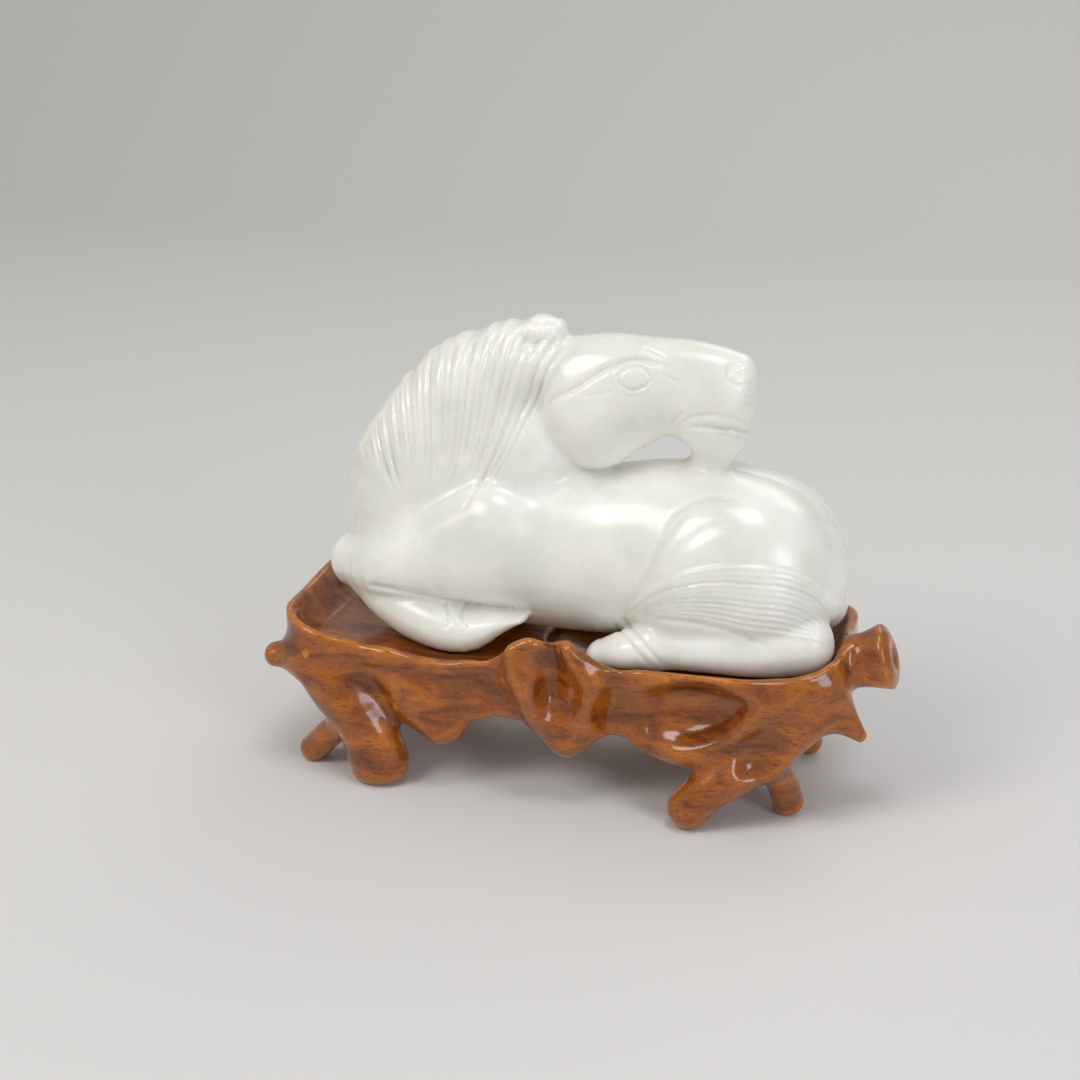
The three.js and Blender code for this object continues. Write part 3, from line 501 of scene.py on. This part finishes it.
def face_carving(p):
    cheek_side = p.copy()
    cheek_side[:, 1] = -2 - np.abs(p[:, 1] + 2)
    x, z = seen(cheek_side, HEAD_PLANE)
    radius = (EYE_HALF[0] ** 2 + EYE_HALF[1] ** 2) / (2 * EYE_HALF[1])
    u = x - EYE[0]
    w = z - EYE[1] - 0.1 * u
    almond = np.hypot(u, np.abs(w) + radius - EYE_HALF[1]) - radius
    depth = groove(almond, 0.32, 0.34) + groove(almond - 1.15, 0.34, 0.17) - 0.1 * ease(0.3, -1.2, almond)
    depth += sum(line(x, z) for line in face_lines)
    around = np.hypot(x - NOSTRIL[0], z - NOSTRIL[1])
    front = ease(0.4, 1.4, x - NOSTRIL[0])
    depth += groove(around - NOSTRIL_RADIUS, 0.34, 0.38) * (1 - front) + groove(around, 0.7, 0.3)
    beads = groove(np.mod(z - 49, BEAD_STEP) - BEAD_STEP / 2, 0.26, 0.18)
    depth += beads * ease(30.3, 31, x) * ease(33.5, 32.5, x) * ease(49, 49.6, z) * ease(53.6, 53, z)
    return np.where((p[:, 2] > 34) & (p[:, 0] > -13), depth, 0)


def leg_carving(p):
    flank = p.copy()
    flank[:, 1] = -np.abs(p[:, 1])
    x, z = seen(flank, FLANK_PLANE)
    thigh = thigh_edge(x, z) + np.where(p[:, 1] < 0, thigh_echo(x, z), 0)
    low = sum(line(x, z) for line in low_lines)
    return np.where((p[:, 2] < 38) & (x > 5), thigh, 0) + np.where(p[:, 2] < 14, low, 0)


def horse_carving(p):
    return mane_carving(p) + tail_carving(p) + face_carving(p) + leg_carving(p)


def horse_field(p):
    """The finished horse, at points in millimetres in the frame."""
    scale = HORSE_LENGTH / 100
    q = (p - horse_origin) / scale
    form = horse_form(q)
    return scale * (form + np.where(np.abs(form) < 3, horse_carving(q), 0))


chest_tip = horse_origin + np.array([[-50.0, 0.0, 12.0]])
print("the finished field at the tip of the chest:", horse_field(chest_tip))

# %% [markdown]
# # The stand
#
# The stand is cut from one block to look like roots: a dished tray with a thin wavy rim, an apron that ends
# in lobes, and roots that run down it into forked feet. Its back is its front turned half a turn, a little
# closer together. The horse's own field, grown by the gap, cuts the seat.

# %% Tray, apron and roots
rim_front = profile([[-54, 33], [-50, 31], [-40, 29], [-30, 27.2], [-20, 26.3], [-13, 27.2], [-8, 29.2],
                     [-3, 32.2], [1, 33], [4, 32.2], [7, 30.3], [10, 29.2], [15, 28.8], [35, 29], [43, 29.8],
                     [48, 30.8], [51, 32], [54, 34]])
rim_back = profile([[-54, 33], [-44, 30.5], [-20, 28.5], [0, 30], [20, 28.5], [44, 29.5], [54, 30.5]])
apron_edge = profile([[-54, 21.5], [-48, 19.5], [-44, 13], [-38, 11.5], [-26, 11.8], [-22.5, 9.6],
                      [-20.5, 8.8], [-18, 9.8], [-14.5, 13.6], [-10, 15], [-5, 14.8], [-1, 12.8], [2, 10.2],
                      [3.5, 9.8], [7, 12], [11, 13.7], [16, 13.5], [21, 12], [25, 11.3], [36, 11], [43, 12.5],
                      [47, 19], [54, 21]])
left_root = limb([[-47, -17, 22.5, 3.6, 4], [-41, -18, 17.5, 4.4, 5], [-35.5, -18.6, 11, 4.8, 5.4],
                  [-33, -19, 4.8, 4.6, 5.8], [-32.6, -19.2, 2.4, 4.4, 5.4]], 2.4, 3)
left_toe = limb([[-38, -17, 11.5, 3, 3], [-42.6, -15.5, 8, 2.8, 2.8], [-48, -13.8, 2.3, 2.8, 2.8]], 2, 2.6)
left_lobe = limb([[-31, -19, 25, 2, 3], [-25.5, -19, 18, 3.2, 4.5], [-20.8, -17.8, 12, 3, 3.2]], 3, 3)
left_fold = limb([[-3.5, -19, 31, 1.6, 1.8], [-4.5, -19.8, 26, 2.2, 2.2], [-1, -19.3, 19, 3, 3.4],
                  [3, -17.6, 13, 3, 3]], 1.6, 3)
right_fold = limb([[3.5, -19.2, 31, 1.6, 1.6], [9.4, -20, 25, 1.8, 1.8], [8, -19, 18, 2.4, 2.6],
                   [4, -17.4, 13, 3, 3]], 1.6, 3)
climbing_root = limb([[19, -18.4, 15.6, 2.8, 3.2], [26, -19.5, 14, 3, 3], [34, -20.4, 18.5, 2.6, 2.8],
                      [42, -20, 25.5, 2.4, 2.6], [50, -16.5, 28.5, 2.4, 2.4]], 2.6, 3)
right_root = limb([[50, -15, 26, 4, 4], [45, -17, 20, 4.2, 4.6], [38.5, -18.5, 13.5, 4.4, 4.6],
                   [30.8, -20.8, 7.5, 4, 4], [27, -22, 3.4, 3.8, 3.8]], 3, 3.6)
right_toe = limb([[41, -16.5, 12, 3, 3], [42.8, -14, 7, 2.9, 2.9], [43.8, -12.2, 2.4, 2.9, 2.9]], 2, 2.6)
roots = [left_root, left_toe, left_lobe, left_fold, right_fold, climbing_root, right_root, right_toe]
print(len(roots), "roots and folds on each side")

# %% Knob, spike, knot and hollows
knob = limb([[-47, -16, 23.5, 4, 4], [-52, -16, 22.4, 2.8, 2.6], [-54, -16, 22.2, 2.6, 2.4]], 3, 2.2)
spike = limb([[48, -15, 24.5, 4.5, 4.5], [52.5, -15.5, 22, 2.8, 3.2], [56.5, -16, 18.8, 1, 1.2]], 3, 1)
knot = limb([[49, -9, 28.5, 5, 5], [54, -9, 29.8, 4.2, 4.6], [59.5, -9, 31.5, 5.4, 6]], 3, 2)
knot_hollow = blob([64.5, -10, 33], [4.2, 3.6, 4.2])
hollows = [
    blob([26, -25.2, 22.6], [11, 7.4, 6], 15),
    blob([40.5, -23.6, 15.5], [5.5, 4, 4], 40),
    blob([-12, -24, 20.5], [6, 5.2, 6.4]),
    blob([2, -24.6, 24.5], [3.2, 4.8, 8.5]),
    blob([14, -24, 19], [5, 5, 6]),
]
belly_hollow = blob([3.5, 0, STAND_HEIGHT], [8, 9, 5])


def stand_relief(near):
    """How far the apron's folds stand out from the plain form and its scoops lie behind it."""
    x, y, z = near.T
    left_gap, left_place = along_line([[-6.5, 31], [-5.5, 26], [-2.5, 19], [1.5, 12]], x, z)
    right_gap, right_place = along_line([[4.5, 31], [8, 26], [7.5, 19], [4.5, 12]], x, z)
    folds = groove(left_gap, 1.8, 0.9) * ease(1, 0.6, left_place)
    folds += groove(right_gap, 1.8, 0.8) * ease(1, 0.6, right_place)
    valley = groove(x - 0.8, 2.2, 1.0) * ease(17, 22, z) + groove(x + 10.5, 2.4, 0.7) * ease(14, 20, z)
    valley += groove(x - 13, 2.6, 0.8) * ease(12, 18, z)
    scoop = groove(x - 28, 9, 1.2) * ease(12, 21, z) * ease(27, 24.2, z)
    scoop += groove(x + 30, 7, 0.8) * ease(13, 20, z) * ease(25.6, 23.4, z)
    return (folds - valley - scoop) * ease(-15, -18, y)


def stand_field(p):
    """The stand, at points in millimetres in the frame."""
    q = p + DRAWING_SHIFT
    x, y, z = q.T
    around = np.where(y < 0, 1, -BACK_CLOSER_RATIO)
    near = np.column_stack([around * x, -np.abs(y), z])
    qx = np.abs(x) - TRAY_LENGTH / 2 + TRAY_CORNER
    qy = np.abs(y) - TRAY_DEPTH / 2 + TRAY_CORNER
    outline = np.hypot(np.maximum(qx, 0), np.maximum(qy, 0)) + np.minimum(np.maximum(qx, qy), 0) - TRAY_CORNER
    front = ease(6, -6, y)
    rim = rim_front(x) * front + rim_back(x) * (1 - front)
    edge = apron_edge(x) * front + apron_edge(-BACK_CLOSER_RATIO * x) * (1 - front)
    leaning = outline + APRON_LEAN_RATIO * np.maximum(LEAN_TOP - z, 0)
    wood = share(leaning, z - rim, 1)
    wood = share(wood, edge - z, 3)
    under = share(leaning + APRON_THICKNESS, z - (STAND_HEIGHT - FLOOR_THICKNESS), 5)
    wood = cut(wood, under, 1.5)
    for root in roots:
        wood = join(wood, root(near), 3)
    for hollow in hollows:
        wood = cut(wood, hollow(near), 2)
    wood = join(join(wood, knob(q), 3), spike(q), 3)
    wood = join(wood, cut(knot(q), knot_hollow(q), 1), 3)
    wood -= stand_relief(near)
    dish = outline + RIM_WIDTH + RIM_SLOPE_RATIO * (rim - z)
    wood = cut(wood, share(dish, STAND_HEIGHT - z, 3), 0.8)
    wood = cut(wood, belly_hollow(q), 1)
    wood = np.maximum(wood, SEAT_GAP - horse_field(p))
    return np.maximum(wood, -z)


print("the field in the tray's floor:", stand_field(np.array([[-30.0, 0.0, 22.0]])))

# %% [markdown]
# # From field to mesh
#
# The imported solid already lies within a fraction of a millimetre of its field. A copy of it is remeshed into
# small even squares, and each corner then slides along the surface's slope until the field is zero there. The
# corners crowd together in the creases, so the result is remeshed and slid once more. A collapse at the end
# keeps small faces where the carving is fine and lets them grow where the form is smooth.

# %% Remesh a node and settle it on its field
MOST_TRIANGLES = 190000
PROBE = 0.15
FIRST_PASS = 1.6


def apply_modifiers(obj):
    graph = bpy.context.evaluated_depsgraph_get()
    mesh = bpy.data.meshes.new_from_object(obj.evaluated_get(graph))
    obj.modifiers.clear()
    old = obj.data
    obj.data = mesh
    bpy.data.meshes.remove(old)


def even_squares(obj, voxel):
    remesh = obj.modifiers.new("even squares", "REMESH")
    remesh.mode = "VOXEL"
    remesh.voxel_size = voxel * MM
    apply_modifiers(obj)


def settle(obj, field, steps, stride):
    """Slides each corner along its normal towards the zero of the field, by at most a stride each step."""
    mesh = obj.data
    points = np.empty(len(mesh.vertices) * 3)
    normals = np.empty(len(mesh.vertices) * 3)
    for _ in range(steps):
        mesh.vertices.foreach_get("co", points)
        mesh.vertices.foreach_get("normal", normals)
        p = points.reshape(-1, 3) / MM
        out = normals.reshape(-1, 3)
        value = field(p)
        slope = (field(p + PROBE * out) - value) / PROBE
        p = p + np.clip(-value / np.clip(slope, 0.5, 2), -stride, stride)[:, None] * out
        mesh.vertices.foreach_set("co", (p * MM).ravel())
        mesh.update()
    off = round(float(np.percentile(np.abs(value), 99)), 3)
    print(obj.name, "was within", off, "mm of its field before the last step,", len(mesh.vertices), "corners")


def fine_copy(node, name, field, voxel):
    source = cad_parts[node]
    mesh = source.data.copy()
    obj = bpy.data.objects.new(name, mesh)
    bpy.context.collection.objects.link(obj)
    obj.matrix_world = source.matrix_world
    bm = bmesh.new()
    bm.from_mesh(mesh)
    bmesh.ops.remove_doubles(bm, verts=bm.verts, dist=1e-7)
    bm.to_mesh(mesh)
    bm.free()
    even_squares(obj, FIRST_PASS * voxel)
    settle(obj, field, 3, 0.5)
    even_squares(obj, voxel)
    settle(obj, field, 2, 0.4 * voxel)
    triangles = 2 * len(obj.data.polygons)
    if triangles > MOST_TRIANGLES:
        collapse = obj.modifiers.new("collapse", "DECIMATE")
        collapse.ratio = MOST_TRIANGLES / triangles
        apply_modifiers(obj)
    obj.data.shade_smooth()
    obj.data.materials.clear()
    print(name, "has", len(obj.data.polygons), "faces")
    return obj


# %% Make the horse
voxel = 0.32
STAND_VOXEL_RATIO = 1.2
horse = fine_copy("jade_horse", "horse", horse_field, voxel)
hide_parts("jade_horse")
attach(horse, "root")

# %% Make the stand
stand = fine_copy("wood_stand", "stand", stand_field, STAND_VOXEL_RATIO * voxel)
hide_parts("wood_stand")
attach(stand, "root")

# %% [markdown]
# # A finish is a small graph
#
# Each finish is written as nodes and links. One function adds a node with its settings and links, and another
# turns the colours, which are written as they look on a screen, into the linear values that the shader wants.

# %% Helpers for finishes
def linear(code):
    channels = [int(code[i : i + 2], 16) / 255 for i in (1, 3, 5)]
    return [c / 12.92 if c <= 0.04045 else ((c + 0.055) / 1.055) ** 2.4 for c in channels] + [1]


def new_finish(name):
    material = bpy.data.materials.new(name)
    material.use_nodes = True
    return material, material.node_tree.nodes["Principled BSDF"]


def add(material, kind, settings=None, inputs=None, **links):
    """Adds a node: settings are its properties, inputs its values, links its sockets by name or number."""
    tree = material.node_tree
    node = tree.nodes.new(kind)
    for key, value in (settings or {}).items():
        setattr(node, key, value)
    for key, value in (inputs or {}).items():
        node.inputs[key].default_value = value
    for key, socket in links.items():
        name = int(key[1:]) if key[1:].isdigit() else key.replace("_", " ")
        tree.links.new(socket, node.inputs[name])
    return node


print("a mid grey on the screen is", round(linear("#808080")[0], 3), "in linear light")

# %% [markdown]
# # Pale nephrite
#
# Nephrite of this kind is nearly white, with a breath of green and yellow, and light goes a few millimetres
# into it before it comes out again. So the thin edges glow, the carved lines stay soft, and the polish gives
# sharp reflections on top. Its index of refraction is about 1.61. Faint clouds a centimetre across, and a few
# small darker flecks, keep it from looking like plastic.

# %% Jade
jade, shader = new_finish("polished nephrite")
where = add(jade, "ShaderNodeTexCoord")
clouds = add(jade, "ShaderNodeTexNoise", inputs={"Scale": 1 / (11 * MM), "Detail": 3, "Roughness": 0.5},
             Vector=where.outputs["Object"])
cloud_colour = add(jade, "ShaderNodeValToRGB", Fac=clouds.outputs["Fac"])
cloud_colour.color_ramp.elements[0].position = 0.3
cloud_colour.color_ramp.elements[0].color = linear("#e0e1d6")
cloud_colour.color_ramp.elements[1].position = 0.72
cloud_colour.color_ramp.elements[1].color = linear("#f1f1e9")
flecks = add(jade, "ShaderNodeTexNoise", inputs={"Scale": 1 / (2.6 * MM), "Detail": 5, "Roughness": 0.6},
             Vector=where.outputs["Object"])
fleck_amount = add(jade, "ShaderNodeMapRange",
                   inputs={"From Min": 0.66, "From Max": 0.8, "To Min": 0, "To Max": 0.35},
                   Value=flecks.outputs["Fac"])
jade_colour = add(jade, "ShaderNodeMix", {"data_type": "RGBA"}, {7: linear("#b9b09a")},
                  _0=fleck_amount.outputs["Result"], _6=cloud_colour.outputs["Color"])
jade.node_tree.links.new(jade_colour.outputs[2], shader.inputs["Base Color"])
polish = add(jade, "ShaderNodeTexNoise", inputs={"Scale": 1 / (6 * MM), "Detail": 2},
             Vector=where.outputs["Object"])
polish_range = add(jade, "ShaderNodeMapRange",
                   inputs={"From Min": 0.3, "From Max": 0.7, "To Min": 0.2, "To Max": 0.3},
                   Value=polish.outputs["Fac"])
jade.node_tree.links.new(polish_range.outputs["Result"], shader.inputs["Roughness"])
shader.inputs["IOR"].default_value = 1.61
shader.inputs["Subsurface Weight"].default_value = 0.75
shader.inputs["Subsurface Radius"].default_value = (1.0, 0.9, 0.68)
shader.inputs["Subsurface Scale"].default_value = 3 * MM
horse.data.materials.append(jade)
print("jade nodes:", len(jade.node_tree.nodes))

# %% [markdown]
# # Lacquered hardwood
#
# The stand is a dense reddish-brown hardwood under a glossy lacquer. Its hollows are painted darker, partly as
# stain gathered there and partly as painted shade, and the ridges are rubbed through to orange. Blender
# measures how sharply the surface bends at each corner, which it calls pointiness, and that picks out both.
# The pores are short dark streaks along the tray, one or two millimetres long and a tenth wide, drawn a little
# wider here so that they show.

# %% Wood
wood, shader = new_finish("lacquered hardwood")
where = add(wood, "ShaderNodeTexCoord")
along_grain = add(wood, "ShaderNodeMapping", inputs={"Scale": (1 / (12 * MM), 1 / (4 * MM), 1 / (4 * MM))},
                  Vector=where.outputs["Object"])
figure = add(wood, "ShaderNodeTexNoise",
             inputs={"Scale": 1, "Detail": 4, "Roughness": 0.55, "Distortion": 0.8},
             Vector=along_grain.outputs["Vector"])
figure_colour = add(wood, "ShaderNodeValToRGB", Fac=figure.outputs["Fac"])
figure_colour.color_ramp.elements[0].position = 0.3
figure_colour.color_ramp.elements[0].color = linear("#5c2404")
figure_colour.color_ramp.elements[1].position = 0.75
figure_colour.color_ramp.elements[1].color = linear("#bb680d")
shape = add(wood, "ShaderNodeNewGeometry")
ridge = add(wood, "ShaderNodeMapRange",
            inputs={"From Min": 0.5, "From Max": 0.56, "To Min": 0, "To Max": 0.55},
            Value=shape.outputs["Pointiness"])
# Painted shade with some stain: where pointiness is low, in the hollows, the colour darkens towards #351302.
hollow = add(wood, "ShaderNodeMapRange",
             inputs={"From Min": 0.5, "From Max": 0.45, "To Min": 0, "To Max": 0.8},
             Value=shape.outputs["Pointiness"])
rubbed = add(wood, "ShaderNodeMix", {"data_type": "RGBA"}, {7: linear("#dc8c2a")},
             _0=ridge.outputs["Result"], _6=figure_colour.outputs["Color"])
# The hollows darkened here are partly stain and partly painted shade.
stain_and_painted_shade = add(wood, "ShaderNodeMix", {"data_type": "RGBA"}, {7: linear("#351302")},
              _0=hollow.outputs["Result"], _6=rubbed.outputs[2])
pore_grain = add(wood, "ShaderNodeMapping",
                 inputs={"Scale": (1 / (1.6 * MM), 1 / (0.3 * MM), 1 / (0.3 * MM))},
                 Vector=where.outputs["Object"])
pores = add(wood, "ShaderNodeTexNoise", inputs={"Scale": 1, "Detail": 2}, Vector=pore_grain.outputs["Vector"])
pore_amount = add(wood, "ShaderNodeMapRange",
                  inputs={"From Min": 0.55, "From Max": 0.7, "To Min": 0, "To Max": 0.6},
                  Value=pores.outputs["Fac"])
with_pores = add(wood, "ShaderNodeMix", {"data_type": "RGBA"}, {7: linear("#2a1003")},
                 _0=pore_amount.outputs["Result"], _6=stain_and_painted_shade.outputs[2])
wood.node_tree.links.new(with_pores.outputs[2], shader.inputs["Base Color"])
shader.inputs["Roughness"].default_value = 0.4
shader.inputs["Specular IOR Level"].default_value = 0.15
shader.inputs["Coat Weight"].default_value = 1.0
shader.inputs["Coat Roughness"].default_value = 0.13
stand.data.materials.append(wood)
print("wood nodes:", len(wood.node_tree.nodes))

# %% [markdown]
# # Floor and light
#
# A product picture on a pale floor needs a wide soft key, a weaker fill, a light above and a rim from behind,
# so that the polish has soft shapes to reflect. The floor curves up behind, so that no horizon shows.

# %% The floor
def studio_floor():
    half, radius = 1.2, 0.4
    path = [(-half, 0.0)] + [
        (0.5 + radius * math.sin(a), radius - radius * math.cos(a)) for a in np.linspace(0, math.pi / 2, 16)
    ] + [(0.5 + radius, 1.6)]
    verts = [(x, y, z) for y, z in path for x in (-half, half)]
    faces = [(2 * i, 2 * i + 1, 2 * i + 3, 2 * i + 2) for i in range(len(path) - 1)]
    mesh = bpy.data.meshes.new("floor")
    mesh.from_pydata(verts, [], faces)
    mesh.shade_smooth()
    return bpy.data.objects.new("floor", mesh)


floor = studio_floor()
bpy.context.collection.objects.link(floor)
paint, shader = new_finish("pale studio paint")
shader.inputs["Base Color"].default_value = linear("#dad9d6")
shader.inputs["Roughness"].default_value = 0.7
floor.data.materials.append(paint)
print("floor has", len(floor.data.polygons), "faces")


# %% The lights
def soft_light(name, place, size, power, colour):
    light = bpy.data.lights.new(name, "AREA")
    light.shape = "RECTANGLE"
    light.size, light.size_y = size
    light.energy = power
    light.color = linear(colour)[:3]
    obj = bpy.data.objects.new(name, light)
    obj.location = Vector(place)
    obj.rotation_euler = (Vector((0, 0, 0.045)) - obj.location).to_track_quat("-Z", "Y").to_euler()
    bpy.context.collection.objects.link(obj)
    return obj


soft_light("key", (-0.35, -0.45, 0.6), (0.32, 0.32), 2.0, "#fffaf3")
soft_light("fill", (0.55, -0.5, 0.35), (0.24, 0.32), 1.5, "#eff0ff")
soft_light("rim", (0.2, 0.5, 0.55), (0.5, 0.3), 0.8, "#fffaf2")
soft_light("top", (0.1, -0.15, 0.75), (0.22, 0.22), 1.15, "#eff0ff")
world = bpy.data.worlds.new("studio")
world.use_nodes = True
world.node_tree.nodes["Background"].inputs["Color"].default_value = linear("#f3f3f2")
world.node_tree.nodes["Background"].inputs["Strength"].default_value = 0.5
bpy.context.scene.world = world
bpy.context.scene.view_settings.view_transform = "Standard"
